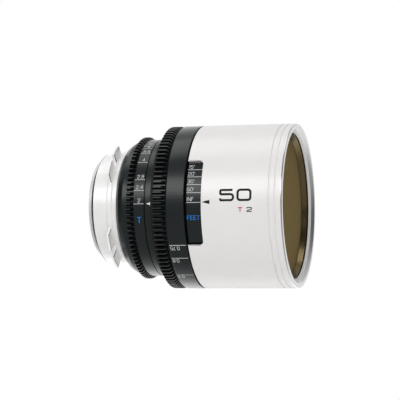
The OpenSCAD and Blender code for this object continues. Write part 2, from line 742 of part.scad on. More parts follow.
module rear_glass_front() color(glass_tone) on_axis()
  glass(rear_glass_r, rear_front_x, rear_glass_edge, -rear_front_hollow, rear_front_bulge);

module rear_spacer() color(dark) on_axis()
  sleeve(rear_glass_r, rear_glass_r - lip_w, rear_back_x + rear_glass_edge, rear_front_x);

module rear_glass_rear() color(glass_tone) on_axis()
  glass(rear_glass_r, rear_back_x, rear_glass_edge, -rear_back_hollow, rear_back_bulge);

module rear_retaining_ring() color(grey) on_axis() {
  hole = rear_glass_r - lip_w;
  back = -tube_len - rear_ring_len;
  turned([[hole, rear_back_x], [hole, back + rear_ring_len / 2], [hole + lip_w, back],
    [rear_ring_d / 2 - tube_chamfer, back], [rear_ring_d / 2, back + tube_chamfer],
    [rear_ring_d / 2, -tube_len],
    [rear_glass_r, -tube_len], [rear_glass_r, rear_back_x]]);
}

lens_mount();
mount_shim();
mount_screws();
rear_housing();
housing_screws();
main_barrel();
focus_retainer();
focus_stop_pin();
front_barrel();
barrel_screws();
front_rim();
front_cell();
front_glass();
front_retaining_ring();
second_glass();
second_retaining_ring();
focus_ring();
focus_gear();
focus_cell();
focus_glass_rear();
focus_spacer();
focus_glass_front();
focus_cell_ring();
guide_rollers();
cam_rollers();
roller_pins();
iris_ring();
iris_gear();
iris_drive_pin();
iris_cam_ring();
iris_base();
iris_cover();
iris_blade(0);  // iris_blade_1
iris_blade(1);  // iris_blade_2
iris_blade(2);  // iris_blade_3
iris_blade(3);  // iris_blade_4
iris_blade(4);  // iris_blade_5
iris_blade(5);  // iris_blade_6
iris_blade(6);  // iris_blade_7
iris_blade(7);  // iris_blade_8
iris_blade(8);  // iris_blade_9
rear_cell();
rear_glass_front();
rear_spacer();
rear_glass_rear();
rear_retaining_ring();
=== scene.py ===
# %% [markdown]
# A cinema prime lens, lying along X with its front towards +X and its index marks towards -Y.
# Its solids come from the imported model, in metres, and everything below is placed in that same frame.

# %% Load the lens
import json
import math
import bmesh
import bpy
from mathutils import Matrix, Vector

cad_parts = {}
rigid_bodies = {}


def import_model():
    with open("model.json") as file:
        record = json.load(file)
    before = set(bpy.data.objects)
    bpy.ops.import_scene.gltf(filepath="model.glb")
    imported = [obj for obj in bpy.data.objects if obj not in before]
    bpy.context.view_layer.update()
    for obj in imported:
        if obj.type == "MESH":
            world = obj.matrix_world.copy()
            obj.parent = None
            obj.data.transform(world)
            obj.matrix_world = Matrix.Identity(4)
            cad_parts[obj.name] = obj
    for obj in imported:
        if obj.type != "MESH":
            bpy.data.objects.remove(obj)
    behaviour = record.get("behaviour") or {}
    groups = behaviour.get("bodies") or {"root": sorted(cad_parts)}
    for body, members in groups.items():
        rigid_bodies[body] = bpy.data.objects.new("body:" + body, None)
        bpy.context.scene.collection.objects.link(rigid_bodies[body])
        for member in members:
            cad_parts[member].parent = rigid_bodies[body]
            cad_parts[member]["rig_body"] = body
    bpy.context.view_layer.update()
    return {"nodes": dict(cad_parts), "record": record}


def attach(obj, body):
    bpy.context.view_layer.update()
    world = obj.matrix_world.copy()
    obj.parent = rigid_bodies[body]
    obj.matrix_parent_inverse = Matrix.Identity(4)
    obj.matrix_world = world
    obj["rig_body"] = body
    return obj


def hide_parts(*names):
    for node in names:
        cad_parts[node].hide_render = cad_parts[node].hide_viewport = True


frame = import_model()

SLOT_OF = {part["node"]: part["material_slot"] for part in frame["record"]["subparts"]}

# %% [markdown]
# Shaders are written as sums. The small class below holds one socket of a node tree, and adding or
# multiplying it with a number or with another socket adds the Math node that does so.
# Every other node comes from its one method, which sets a node up, fills its sockets and gives back
# an output.

# %% Shader sums
MM = 0.001


class Wire:
    """One socket of a node tree."""

    def __init__(self, tree, socket=None):
        self.tree = tree
        self.socket = socket

    def node(self, kind, settings=None, inputs=None, output=0):
        """Adds a node, sets it up, fills its sockets with values or links, and returns one output."""
        new = self.tree.nodes.new(kind)
        for name, value in (settings or {}).items():
            setattr(new, name, value)
        for name, value in (inputs or {}).items():
            if isinstance(value, Wire):
                self.tree.links.new(value.socket, new.inputs[name])
            else:
                new.inputs[name].default_value = value
        return Wire(self.tree, new.outputs[output] if new.outputs else None)

    def math(self, operation, a, b=0.0):
        return self.node("ShaderNodeMath", {"operation": operation}, {0: a, 1: b})

    def __add__(self, other):
        return self.math("ADD", self, other)

    __radd__ = __add__

    def __rsub__(self, other):
        return self.math("SUBTRACT", other, self)

    def __mul__(self, other):
        return self.math("MULTIPLY", self, other)

    __rmul__ = __mul__

    def between(self, low, high):
        """0 at low, 1 at high, and held there outside."""
        return self.node("ShaderNodeMapRange", {}, {"Value": self, "From Min": low, "From Max": high})


# %% [markdown]
# A finish is a material under construction. On this lens most of them share three things: fine even
# noise for blasted or anodised metal, the distance from the axis, and the fine spiral that a lathe tool
# leaves behind. The spiral could be an image, but a sine of the distance along and out from the axis
# fits every turned face.

# %% What the finishes share
def rgb(red, green, blue):
    return (red, green, blue, 1.0)


class Finish:
    """One material of the lens, read from object coordinates."""

    def __init__(self, name):
        self.material = bpy.data.materials.new(name)
        self.material.use_nodes = True
        self.material.node_tree.nodes.clear()
        self.start = Wire(self.material.node_tree)
        self.place = self.start.node("ShaderNodeTexCoord", output="Object")

    def noise(self, size_mm, detail=2.0):
        """Even noise whose blotches are about this many millimetres across."""
        return self.start.node("ShaderNodeTexNoise", {},
                               {"Vector": self.place, "Scale": 1 / (size_mm * MM), "Detail": detail})

    def along(self):
        """Distance along the lens in mm."""
        return self.start.node("ShaderNodeSeparateXYZ", {}, {0: self.place}) * (1 / MM)

    def radius(self):
        """Distance from the lens's axis in mm."""
        across = self.start.node("ShaderNodeVectorMath", {"operation": "MULTIPLY"},
                                 {0: self.place, 1: (0, 1 / MM, 1 / MM)})
        return self.start.node("ShaderNodeVectorMath", {"operation": "LENGTH"}, {0: across}, "Value")

    def tool_lines(self, pitch_mm):
        """The fine spiral of a lathe tool, from 0 to 1."""
        path = (self.along() + self.radius()) * (math.tau / pitch_mm)
        return self.start.math("SINE", path) * 0.5 + 0.5

    def mix(self, first, second, share):
        """The first colour, giving way to the second by the share."""
        return self.start.node("ShaderNodeMix", {"data_type": "RGBA"}, {0: share, 6: first, 7: second}, 2)

    def bump(self, height, depth_mm):
        """A normal from a height of 0 to 1 that stands for so many millimetres."""
        return self.start.node("ShaderNodeBump", {}, {"Distance": depth_mm * MM, "Height": height})

    def shader(self, **sockets):
        """The Principled shader; a socket's name has _ for its spaces."""
        return self.start.node("ShaderNodeBsdfPrincipled", {},
                               {name.replace("_", " "): value for name, value in sockets.items()})

    def done(self, shader):
        self.start.node("ShaderNodeOutputMaterial", {}, {"Surface": shader})
        print("finish", self.material.name, "of", len(self.material.node_tree.nodes), "nodes")
        return self.material


# %% [markdown]
# The long barrel is aluminium, blasted with fine beads and anodised clear: an even, pale satin with
# hardly a tint. It could be a plain metal shader, but blasting scatters light so well that the real one
# reads almost as paint, so most of it is diffuse, with a low metallic share, a fine grain in the normal
# and a faint cloudiness.

# %% Satin silver
def satin_silver():
    f = Finish("satin_silver")
    grain = f.noise(0.16, detail=3)
    cloud = f.noise(11)
    return f.done(f.shader(
        Base_Color=f.mix(rgb(0.815, 0.804, 0.792), rgb(0.855, 0.844, 0.832), cloud), Metallic=0.12,
        Roughness=0.27 + 0.10 * grain, Specular_IOR_Level=0.0, Normal=f.bump(grain, 0.003)))


FINISH = {"silver_barrel": satin_silver()}

# %% [markdown]
# The rings that the hands turn are anodised black, which keeps the gloss of the metal under it but
# little of its strength. A low base colour and a mild reflection give that charcoal, and the lathe's
# spiral stays in it. The gears have the same black, a little paler towards the tips of the teeth. The
# flanks of the teeth and the walls of grooves hardly shine, and get a duller and deeper black of their
# own, which is painted shade for the shade that falls in these recesses.

# %% Anodised black
FOCUS_TIP = 40.0
IRIS_TIP = 35.2
TIP_PALE_DEPTH = 0.30


def anodised_black(name, tip=None):
    f = Finish(name)
    dust = f.noise(0.5, detail=4)
    colour = f.mix(rgb(0.0010, 0.0046, 0.0056), rgb(0.0030, 0.0080, 0.0090), dust)
    if tip:
        # The tips of the teeth are made a little paler, by their distance from the axis.
        paler_tips = f.radius().between(tip - TIP_PALE_DEPTH, tip - 0.02) * (0.55 + 0.45 * f.noise(2.5))
        colour = f.mix(colour, rgb(0.026, 0.027, 0.028), paler_tips)
    return f.done(f.shader(
        Base_Color=colour, Metallic=0.0, Roughness=0.23 + 0.10 * dust, Specular_IOR_Level=0.57,
        Normal=f.bump(f.tool_lines(0.22), 0.0016)))


# Near-black painted shade for recesses: gear flanks, the focus groove, the window walls and the rim's lip.
def shade_painted_black():
    f = Finish("shade_painted_black")
    mark = f.noise(0.7, detail=3)
    return f.done(f.shader(
        Base_Color=f.mix(rgb(0.0010, 0.0011, 0.0012), rgb(0.0030, 0.0032, 0.0034), mark),
        Roughness=0.5 + 0.2 * mark, Specular_IOR_Level=0.12, Normal=f.bump(mark, 0.01)))


FINISH["black_ring"] = anodised_black("anodised_black")
FINISH["gear_teeth"] = anodised_black("gear_black", tip=FOCUS_TIP)
IRIS_GEAR_BLACK = anodised_black("iris_gear_black", tip=IRIS_TIP)
PAINTED_SHADE_BLACK = shade_painted_black()

# %% [markdown]
# Inside, the cells are dull black so that no stray light reaches the picture, and the iris blades are
# thin blackened spring steel with a slight sheen. Both are rough shaders; the cells keep a coarse turned
# spiral, and the blades a soft rolled grain. The ring round the front glass is another matter: it is
# smooth black, and its amber is a painted reflection of the coated glass beside it, so it is a dark
# amber metal.

# %% Inner blacks
def dull_black():
    f = Finish("dull_black")
    dust = f.noise(0.8, detail=3)
    return f.done(f.shader(
        Base_Color=f.mix(rgb(0.006, 0.006, 0.006), rgb(0.016, 0.016, 0.016), dust),
        Roughness=0.55 + 0.2 * dust, Specular_IOR_Level=0.25, Normal=f.bump(f.tool_lines(0.4), 0.012)))


def blackened_steel():
    f = Finish("blackened_steel")
    stretched = f.start.node("ShaderNodeMapping", {}, {"Vector": f.place, "Scale": (1, 1, 9)})
    rolled = f.start.node("ShaderNodeTexNoise", {}, {"Vector": stretched, "Scale": 400.0, "Detail": 3.0})
    return f.done(f.shader(
        Base_Color=f.mix(rgb(0.010, 0.010, 0.011), rgb(0.028, 0.028, 0.030), rolled), Metallic=0.4,
        Roughness=0.38 + 0.2 * rolled, Normal=f.bump(rolled, 0.003)))


def black_painted_amber_reflection():
    f = Finish("black_painted_amber_reflection")
    dust = f.noise(0.6, detail=3)
    return f.done(f.shader(
        Base_Color=f.mix(rgb(0.160, 0.120, 0.056), rgb(0.205, 0.154, 0.075), dust), Metallic=0.9,
        Roughness=0.16 + 0.08 * dust, Normal=f.bump(f.tool_lines(0.35), 0.002)))


FINISH["inner_black"] = dull_black()
FINISH["blade_black"] = blackened_steel()
BLACK_WITH_AMBER_REFLECTION = black_painted_amber_reflection()

# %% [markdown]
# The mount is turned steel, satin polished, and a grey anodised ring holds the last element inside it.
# Screws are bright steel, and the rollers and pins that guide the focus cell are brass. They are all
# turned metals, so one function makes them from two colours, a metal share, a roughness and the pitch of
# the tool. The lugs get a paler copy of the mount's steel, which paints in light that their faces lack.
# Their edges that look to the front get near-black and grey copies, which are painted shade, and the
# edge of the front rim is polished, so it has a metal of its own.

# %% Turned metals
def turned_metal(name, low, high, metal, rough, pitch_mm):
    f = Finish(name)
    lines = f.tool_lines(pitch_mm)
    stain = f.noise(6, detail=4)
    return f.done(f.shader(
        Base_Color=f.mix(low, high, stain), Metallic=metal, Roughness=rough + 0.1 * stain + 0.05 * lines,
        Normal=f.bump(lines, 0.0022)))


FINISH["mount_steel"] = turned_metal("satin_steel", rgb(0.90, 0.895, 0.89), rgb(0.93, 0.925, 0.92),
                                     metal=0.16, rough=0.24, pitch_mm=0.25)
# A paler copy of the mount's steel: painted light on the lug faces.
PAINTED_LIGHT_LUG_STEEL = turned_metal("lug_steel_with_painted_light", rgb(0.97, 0.965, 0.96), rgb(0.99, 0.985, 0.98),
                         metal=0.10, rough=0.24, pitch_mm=0.25)
# Near-black and grey copies: painted shade on the lug edges that look to the front.
PAINTED_DARK_SHADE_EDGE = turned_metal("painted_dark_shade_edge", rgb(0.012, 0.012, 0.012), rgb(0.02, 0.02, 0.02),
                           metal=0.0, rough=0.5, pitch_mm=0.25)
PAINTED_GREY_SHADE_EDGE = turned_metal("painted_grey_shade_edge", rgb(0.52, 0.52, 0.515), rgb(0.58, 0.58, 0.575),
                         metal=0.2, rough=0.35, pitch_mm=0.25)
POLISHED_EDGE = turned_metal("polished_edge", rgb(0.61, 0.605, 0.61), rgb(0.67, 0.665, 0.67),
                             metal=0.85, rough=0.14, pitch_mm=0.18)
FINISH["screw_steel"] = turned_metal("bright_steel", rgb(0.42, 0.42, 0.43), rgb(0.52, 0.52, 0.52),
                                     metal=1.0, rough=0.25, pitch_mm=0.12)
FINISH["brass"] = turned_metal("turned_brass", rgb(0.55, 0.36, 0.12), rgb(0.66, 0.46, 0.18),
                               metal=1.0, rough=0.24, pitch_mm=0.12)
FINISH["rear_ring_grey"] = turned_metal("grey_ring", rgb(0.66, 0.66, 0.65), rgb(0.74, 0.74, 0.73),
                                        metal=0.25, rough=0.36, pitch_mm=0.3)

# %% [markdown]
# Lens glass is clear when one looks straight in and takes the colour of its coating at a glancing angle.
# A film could be computed, but a Layer Weight node that mixes clear glass with a soft amber film gives
# the same turn from clear to amber and survives the export. A trace of dust keeps the surface from being
# perfect, and faint rings in the film stand for the cell that lies behind it.

# %% Coated glass
def coated_glass(name, tint, clear, first, last):
    """Glass that is clear up to a first facing value and all film from the last one."""
    f = Finish(name)
    dust = f.noise(0.4, detail=5)
    body = f.shader(Base_Color=f.mix(clear, rgb(0.90, 0.90, 0.88), dust * 0.3),
                    Roughness=0.01 + 0.02 * dust, IOR=1.5, Transmission_Weight=1.0)
    rings = f.tool_lines(4.4)
    film = f.shader(Base_Color=f.mix(tint, rgb(0.30, 0.24, 0.15), dust * 0.08 + rings * 0.05),
                    Roughness=0.45 + 0.10 * dust, Specular_IOR_Level=0.0)
    facing = f.start.node("ShaderNodeLayerWeight", {}, {"Blend": 0.5}, "Facing")
    share = facing.between(first, last)
    return f.done(f.start.node("ShaderNodeMixShader", {}, {0: share, 1: body, 2: film}))


FINISH["front_glass"] = coated_glass("amber_glass", tint=rgb(0.190, 0.138, 0.058),
                                     clear=rgb(0.97, 0.98, 0.96), first=0.12, last=0.60)
FINISH["inner_glass"] = coated_glass("green_glass", tint=rgb(0.060, 0.085, 0.070),
                                     clear=rgb(0.96, 0.98, 0.97), first=0.30, last=0.95)

# %% [markdown]
# Every solid that stays as it came from the model gets the finish its record names. These are the pieces
# inside: cells, spacers, inner glass, blades, rollers and screws, which show through the glass and in
# the gaps.

# %% Dress the inner pieces
for name, solid in frame["nodes"].items():
    solid.data.materials.clear()
    solid.data.materials.append(FINISH[SLOT_OF[name]])
print("dressed", len(frame["nodes"]), "solids by slot")

# %% [markdown]
# Nearly every piece of a lens is turned on a lathe, so one helper does the lathe's work.
# It draws the outline of one side as a wire, rounds the corners as a turner breaks an edge, and spins it
# about X. A curve with a Screw modifier would do, but a spin leaves a plain mesh that needs nothing live.
# Sizes are in millimetres, and an angle is 0 at the index marks and grows upwards from there.

# %% The lathe
AXLE = (1, 0, 0)
CENTRE = (0, 0, 0)
TURN_STEPS = 192
BROKEN_EDGE = 0.12
WELD = 1e-7
SLACK = 0.01


def polar(x, radius, angle):
    """The point at a station X and a radius, in mm, and an angle in degrees from the index marks."""
    a = math.radians(angle)
    return Vector((x, -radius * math.cos(a), radius * math.sin(a))) * MM


def wire(bm, points, closed=False):
    """Joins points in a row with edges and returns their vertices."""
    verts = [bm.verts.new(p) for p in points]
    for a, b in zip(verts, verts[1:] + (verts[:1] if closed else [])):
        bm.edges.new((a, b))
    return verts


def round_corners(bm, verts, sizes, steps=3):
    """Rounds the corners of a wire, each by its own size in metres."""
    for size in sorted(set(sizes) - {0}):
        picked = [v for v, s in zip(verts, sizes) if s == size]
        bmesh.ops.bevel(bm, geom=picked, offset=size, offset_type="OFFSET", affect="VERTICES",
                        segments=steps, profile=0.5, material=-1)


def spin(bm, angle=360, steps=TURN_STEPS):
    """Spins all that is in the bmesh about the lens's axis; a full turn closes on itself."""
    bmesh.ops.spin(bm, geom=bm.verts[:] + bm.edges[:], cent=CENTRE, axis=AXLE,
                   angle=math.radians(angle), steps=steps, use_merge=angle == 360)


def turn(corners):
    """A turned ring from a closed outline of (X, radius); a third number is that corner's rounding."""
    bm = bmesh.new()
    verts = wire(bm, [Vector((c[0], 0, c[1])) * MM for c in corners], closed=True)
    round_corners(bm, verts, [(c[2] if len(c) > 2 else BROKEN_EDGE) * MM for c in corners])
    spin(bm)
    return bm


# %% [markdown]
# A finished piece stands for the solid of the same part and rides on the same body, so it follows every
# joint. Its doubles are merged and its faces turned outwards, and edges steeper than a few degrees stay
# sharp, which keeps the straight walls straight while the round of the ring is smooth.

# %% Keep a piece
SHARP_ANGLE = 12


def make(name, bm, body, finish):
    """Makes the bmesh an object that rides on a body, with one finish or a list of them."""
    bmesh.ops.remove_doubles(bm, verts=bm.verts[:], dist=WELD)
    bmesh.ops.recalc_face_normals(bm, faces=bm.faces[:])
    mesh = bpy.data.meshes.new(name)
    bm.to_mesh(mesh)
    bm.free()
    mesh.shade_smooth()
    mesh.set_sharp_from_angle(angle=math.radians(SHARP_ANGLE))
    for part in finish if isinstance(finish, list) else [finish]:
        mesh.materials.append(part)
    piece = bpy.data.objects.new(name, mesh)
    bpy.context.scene.collection.objects.link(piece)
    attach(piece, body)
    print(f"{name}: {len(mesh.polygons)} faces on {body}")
    return piece


def keep(name, bm, node, finish=None):
    """Makes the bmesh the piece that stands for a solid, on its body, with its slot's finish unless one is
    given.
    """
    slot = SLOT_OF[node]
    piece = make(name, bm, frame["nodes"][node]["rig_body"], finish or FINISH[slot])
    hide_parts(node)


# %% [markdown]
# The mount is the bayonet that the camera holds: a short tube, a flange and four slotted lugs.
# The tube and flange are turned. A lug's sides and its slot have straight parallel walls, which a plain
# spin could not make, so half a lug is a short spin that two planes cut to width. Its faces get the
# paler steel, which is painted light. Its edges are broken, and then it is mirrored and copied round. Of
# the broken edges those that look to the front get painted shade: dark at the sides, grey elsewhere. A
# narrow band at the tube's very end is painted dark shade too.

# %% The mount
LUGS = 4
LUG_WIDTH = 21.4
LUG_SLOT = 4.0
LUG_FOOT = 28.0
LUG_TOP = 33.5
LUG_THICK = 1.5
LUG_EDGE = 0.34
LUG_SPAN = 25
LUG_TURN = 45
FOLD = 0.6
SIDEWAYS = 0.5
FORWARD = 0.3
TUBE_REAR = -8.0
TUBE_R = 27.0
TUBE_SHADE_BAND = 0.3


def whole(bm):
    """All the geometry of a bmesh."""
    return bm.verts[:] + bm.edges[:] + bm.faces[:]


def folded(bm):
    """The edges whose two faces clearly look different ways."""
    return [e for e in bm.edges if e.calc_face_angle(0) > FOLD]


def break_edges(bm, edges, size, steps):
    """Bevels edges by a size in mm and returns the new faces."""
    return bmesh.ops.bevel(bm, geom=edges, offset=size * MM, offset_type="OFFSET", affect="EDGES",
                           segments=steps, profile=0.5, material=-1)["faces"]


def copy_round(bm, count):
    """Copies all that is in the bmesh round the axis, until there are so many of it."""
    bmesh.ops.spin(bm, geom=whole(bm), cent=CENTRE, axis=AXLE, angle=math.tau * (count - 1) / count,
                   steps=count - 1, use_duplicate=True)


def add(bm, other):
    """Adds another bmesh to this one."""
    mesh = bpy.data.meshes.new("part")
    other.to_mesh(mesh)
    other.free()
    bm.from_mesh(mesh)
    bpy.data.meshes.remove(mesh)


def where(face):
    """The station X and the radius of a face's middle, in mm."""
    middle = face.calc_center_median() / MM
    return middle.x, Vector(middle.yz).length


def half_lug():
    """One side of a lug: faces in the second finish (painted light), front edges in the third and fourth
    (painted shade).
    """
    bm = bmesh.new()
    corners = ((0, LUG_FOOT), (0, LUG_TOP), (LUG_THICK, LUG_TOP), (LUG_THICK, LUG_FOOT))
    wire(bm, [Vector((x, 0, r)) * MM for x, r in corners], closed=True)
    spin(bm, angle=LUG_SPAN, steps=12)
    for side, way in ((-LUG_SLOT / 2, 1), (-LUG_WIDTH / 2, -1)):
        bmesh.ops.bisect_plane(bm, geom=whole(bm), plane_co=(0, side * MM, 0), plane_no=(0, way, 0),
                               clear_outer=True)
    bmesh.ops.holes_fill(bm, edges=bm.edges[:], sides=0)
    bmesh.ops.recalc_face_normals(bm, faces=bm.faces[:])
    for face in bm.faces:
        face.material_index = 1
    # Broken edges that look to the front get painted shade: dark at the sides, grey elsewhere.
    for face in break_edges(bm, folded(bm), LUG_EDGE, 2):
        shade_tone = 2 if abs(face.normal.y) > SIDEWAYS else 3
        face.material_index = 1 if face.normal.x < FORWARD else shade_tone
    return bm


lug = half_lug()
bmesh.ops.mirror(lug, geom=whole(lug), axis="Y")
to_place = Matrix.Rotation(math.radians(LUG_TURN), 3, "X")
bmesh.ops.rotate(lug, verts=lug.verts[:], cent=CENTRE, matrix=to_place)
copy_round(lug, LUGS)
mount = turn([
    (TUBE_REAR, 25.2), (TUBE_REAR, TUBE_R), (TUBE_REAR + TUBE_SHADE_BAND, TUBE_R, 0),
    (-1.1, TUBE_R), (-0.95, 26.8, 0), (-0.8, TUBE_R), (0, TUBE_R), (0, 28.4),
    (1.6, 28.4), (1.75, 28.2, 0), (1.9, 28.4), (2.6, 29.1), (4.6, 29.1),
    (4.6, 21.55), (2.5, 21.55), (2.5, 25.2)])
# A narrow band at the tube's very end gets the dark finish as painted shade.
for face in mount.faces:
    x, out = where(face)
    in_painted_shade = x < TUBE_REAR + TUBE_SHADE_BAND and out > TUBE_R - 0.2
    face.material_index = 2 if in_painted_shade else 0
add(mount, lug)
keep("mount_bayonet", mount, "lens_mount", [FINISH["mount_steel"], PAINTED_LIGHT_LUG_STEEL, PAINTED_DARK_SHADE_EDGE, PAINTED_GREY_SHADE_EDGE])

# %% [markdown]
# Behind the iris band sits a short black housing with a sloping shoulder. It carries the mount, so its
# rear face is flat and its front face almost touches the iris ring. It is one turned outline.

# %% The rear housing
shoulder = turn([(4.75, 21.55), (4.75, 29.15), (6.1, 31.1), (8.8, 32.8), (11.2, 32.8), (11.2, 21.55)])
keep("rear_shoulder", shoulder, "rear_housing")

# %% [markdown]
# The iris ring is a narrow band for the stop numbers with a gear pressed on its rear half. The focus
# ring is wider: a seat for its gear, a smooth band with the metre scale, a deep groove whose walls are
# near-black as painted shade, and a sleeve that carries the foot scale under the barrel's window. A thin
# ring behind it keeps it from sliding off. Between the two rings a fixed band carries the index. All of
# them are turned outlines.

# %% The turning bands
BAND_R = 33.8
INDEX_R = 33.82
FOCUS_R = 40.0
SLEEVE_R = 38.5
GROOVE_R = 37.7
GROOVE_LIP = 39.7
GROOVE_REAR = 41.7
GROOVE_FRONT = 42.6

iris_band = turn([
    (11.5, 30.05), (11.5, 32.2), (14.95, 32.2), (14.95, BAND_R), (20.2, BAND_R), (20.2, 30.05)])
keep("iris_band", iris_band, "iris_ring")
focus_band = turn([
    (26, 35.05), (26, 37), (32.25, 37), (32.25, 39.3, 0), (33.15, FOCUS_R), (41.4, FOCUS_R),
    (GROOVE_REAR, GROOVE_LIP, 0), (GROOVE_REAR, GROOVE_R, 0), (GROOVE_FRONT, GROOVE_R, 0),
    (GROOVE_FRONT, SLEEVE_R), (51, SLEEVE_R), (51, 35.05)])
# The groove's walls get the near-black of painted shade.
for face in focus_band.faces:
    x, out = where(face)
    in_groove = GROOVE_REAR - SLACK < x < GROOVE_FRONT + SLACK and out < GROOVE_LIP
    face.material_index = 1 if in_groove else 0
keep("focus_band", focus_band, "focus_ring", [FINISH["black_ring"], PAINTED_SHADE_BLACK])
keep("retainer", turn([(24.3, 33.85), (24.3, 37), (25.7, 37), (25.7, 33.85)]), "focus_retainer")
index_outline = [(20.6, 33.2), (20.6, INDEX_R), (24.2, INDEX_R), (24.2, 33.2)]
index_band = make("index_band", turn(index_outline), "body", FINISH["black_ring"])

# %% [markdown]
# Two gears let a drive wheel turn the rings: straight teeth, chamfered at the rear, whose front ends
# slope down below the root. One tooth is a wire of five edges. Copies of it, spun round the axis, make
# the whole outline, and the outline is pushed along X through a few stations. Then the bore is bridged.
# Faces that look round the axis are the flanks, and they get the duller black of painted shade.

# %% The gears
TOOTH = ((-0.5, 0), (-0.39, 0), (-0.125, 1), (0.125, 1), (0.39, 0), (0.5, 0))
TOOTH_EDGE = 0.06
TOOTH_CHAMFER = 0.35
END_DROP = 0.2


def verts_in(geom):
    """The vertices among the geometry that an operator gives back."""
    return [g for g in geom if isinstance(g, bmesh.types.BMVert)]


def reach(vert):
    """A vertex's distance from the axis in mm."""
    return Vector(vert.co.yz).length / MM


def toothed(teeth, x, flat_end, end, tip, root, seat):
    """A ring gear with full teeth from the station x to flat_end, sloping below the root at its end."""
    bm = bmesh.new()
    wire(bm, [polar(x, tip if high else root, share * 360 / teeth) for share, high in TOOTH])
    copy_round(bm, teeth)
    bmesh.ops.remove_doubles(bm, verts=bm.verts[:], dist=SLACK * MM)
    outline = bm.edges[:]

    def push(edges, station, fit):
        """Extrudes a loop of edges to a station, with each vertex at the radius that fit gives it."""
        new = bmesh.ops.extrude_edge_only(bm, edges=edges)["geom"]
        for v in verts_in(new):
            old = Vector((0, v.co.y, v.co.z))
            v.co = old.normalized() * fit(old.length / MM) * MM + Vector((station * MM, 0, 0))
        return [g for g in new if isinstance(g, bmesh.types.BMEdge)]

    rear = push(outline, x, lambda r: seat)
    front = push(outline, x + TOOTH_CHAMFER, lambda r: r)
    for v in {v for e in outline for v in e.verts}:
        v.co.yz *= min(1, (tip - TOOTH_CHAMFER) / reach(v))
    front = push(front, flat_end, lambda r: r)
    front = push(front, end, lambda r: root - END_DROP)
    front = push(front, end, lambda r: seat)
    bmesh.ops.bridge_loops(bm, edges=rear + front)
    bmesh.ops.recalc_face_normals(bm, faces=bm.faces[:])
    tips = [e for e in folded(bm) if min(map(reach, e.verts)) > tip - TOOTH_CHAMFER - SLACK]
    break_edges(bm, tips, TOOTH_EDGE, 1)
    # Flanks get the second finish, a near-black of painted shade.
    for face in bm.faces:
        round_way = Vector(AXLE).cross(face.calc_center_median()).normalized()
        face.material_index = 1 if abs(face.normal.dot(round_way)) > SIDEWAYS else 0
    return bm


focus_teeth = toothed(98, x=26, flat_end=30.3, end=32.2, tip=FOCUS_TIP, root=38.2, seat=37)
iris_teeth = toothed(86, x=11.5, flat_end=13.6, end=14.9, tip=IRIS_TIP, root=33.4, seat=32.2)
keep("focus_gear_ring", focus_teeth, "focus_gear", [FINISH["gear_teeth"], PAINTED_SHADE_BLACK])
keep("iris_gear_ring", iris_teeth, "iris_gear", [IRIS_GEAR_BLACK, PAINTED_SHADE_BLACK])

# %% [markdown]
# The barrel is one long silver sleeve. Over the foot scale it has a window, open at the back and rounded
# at its two front corners, and a fine groove parts it from the front rim.
# The sleeve is turned, and the window is taken out with a Boolean cutter, since it does not run round
# the axis. An extra ring of points just in front of the window keeps the long faces beyond it even.
# All the edges that the window and the sleeve's rear end leave on the outside are broken in one bevel,
# and the window's walls are near-black, as painted shade.

# %% The barrel
WINDOW_ANGLE = 29.8
WINDOW_END = 50.0
WINDOW_CORNER = 1.8
WINDOW_LOW = 38.65
WINDOW_HIGH = 42
BARREL_REAR = 42.4
BARREL_R = 40.0
BARREL_BORE = 38.8
BARREL_EDGE = 0.3
BARREL_SPLIT = 51.4


def baked(objects):
    """A bmesh of the first object with its modifiers worked out; the objects are removed."""
    bpy.context.view_layer.update()
    shaped = objects[0].evaluated_get(bpy.context.evaluated_depsgraph_get())
    result = bmesh.new()
    result.from_mesh(shaped.to_mesh())
    shaped.to_mesh_clear()
    for o in objects:
        mesh = o.data
        bpy.data.objects.remove(o)
        bpy.data.meshes.remove(mesh)
    return result


def cut_away(bm, cutter):
    """The bmesh without the space that the cutter takes."""
    objects = []
    for part in (bm, cutter):
        bmesh.ops.remove_doubles(part, verts=part.verts[:], dist=WELD)
        bmesh.ops.recalc_face_normals(part, faces=part.faces[:])
        mesh = bpy.data.meshes.new("cut")
        part.to_mesh(mesh)
        part.free()
        objects.append(bpy.data.objects.new("cut", mesh))
        bpy.context.scene.collection.objects.link(objects[-1])
    boolean = objects[0].modifiers.new("cut", "BOOLEAN")
    boolean.object = objects[1]
    boolean.operation = "DIFFERENCE"
    boolean.solver = "EXACT"
    return baked(objects)


def window_cutter():
    """A block bent round the axis that fills the window, with its front corners rounded."""
    bm = bmesh.new()
    rear = BARREL_REAR - 2
    corners = ((WINDOW_END, WINDOW_LOW), (WINDOW_END, WINDOW_HIGH), (rear, WINDOW_HIGH), (rear, WINDOW_LOW))
    wire(bm, [polar(x, r, WINDOW_ANGLE) for x, r in corners], closed=True)
    spin(bm, angle=2 * WINDOW_ANGLE, steps=20)
    bmesh.ops.holes_fill(bm, edges=bm.edges[:], sides=0)
    bmesh.ops.recalc_face_normals(bm, faces=bm.faces[:])
    uprights = [e for e in folded(bm) if abs(reach(e.verts[0]) - reach(e.verts[1])) > 1
                and all(abs(v.co.x - WINDOW_END * MM) < WELD for v in e.verts)]
    break_edges(bm, uprights, WINDOW_CORNER, 6)
    return bm


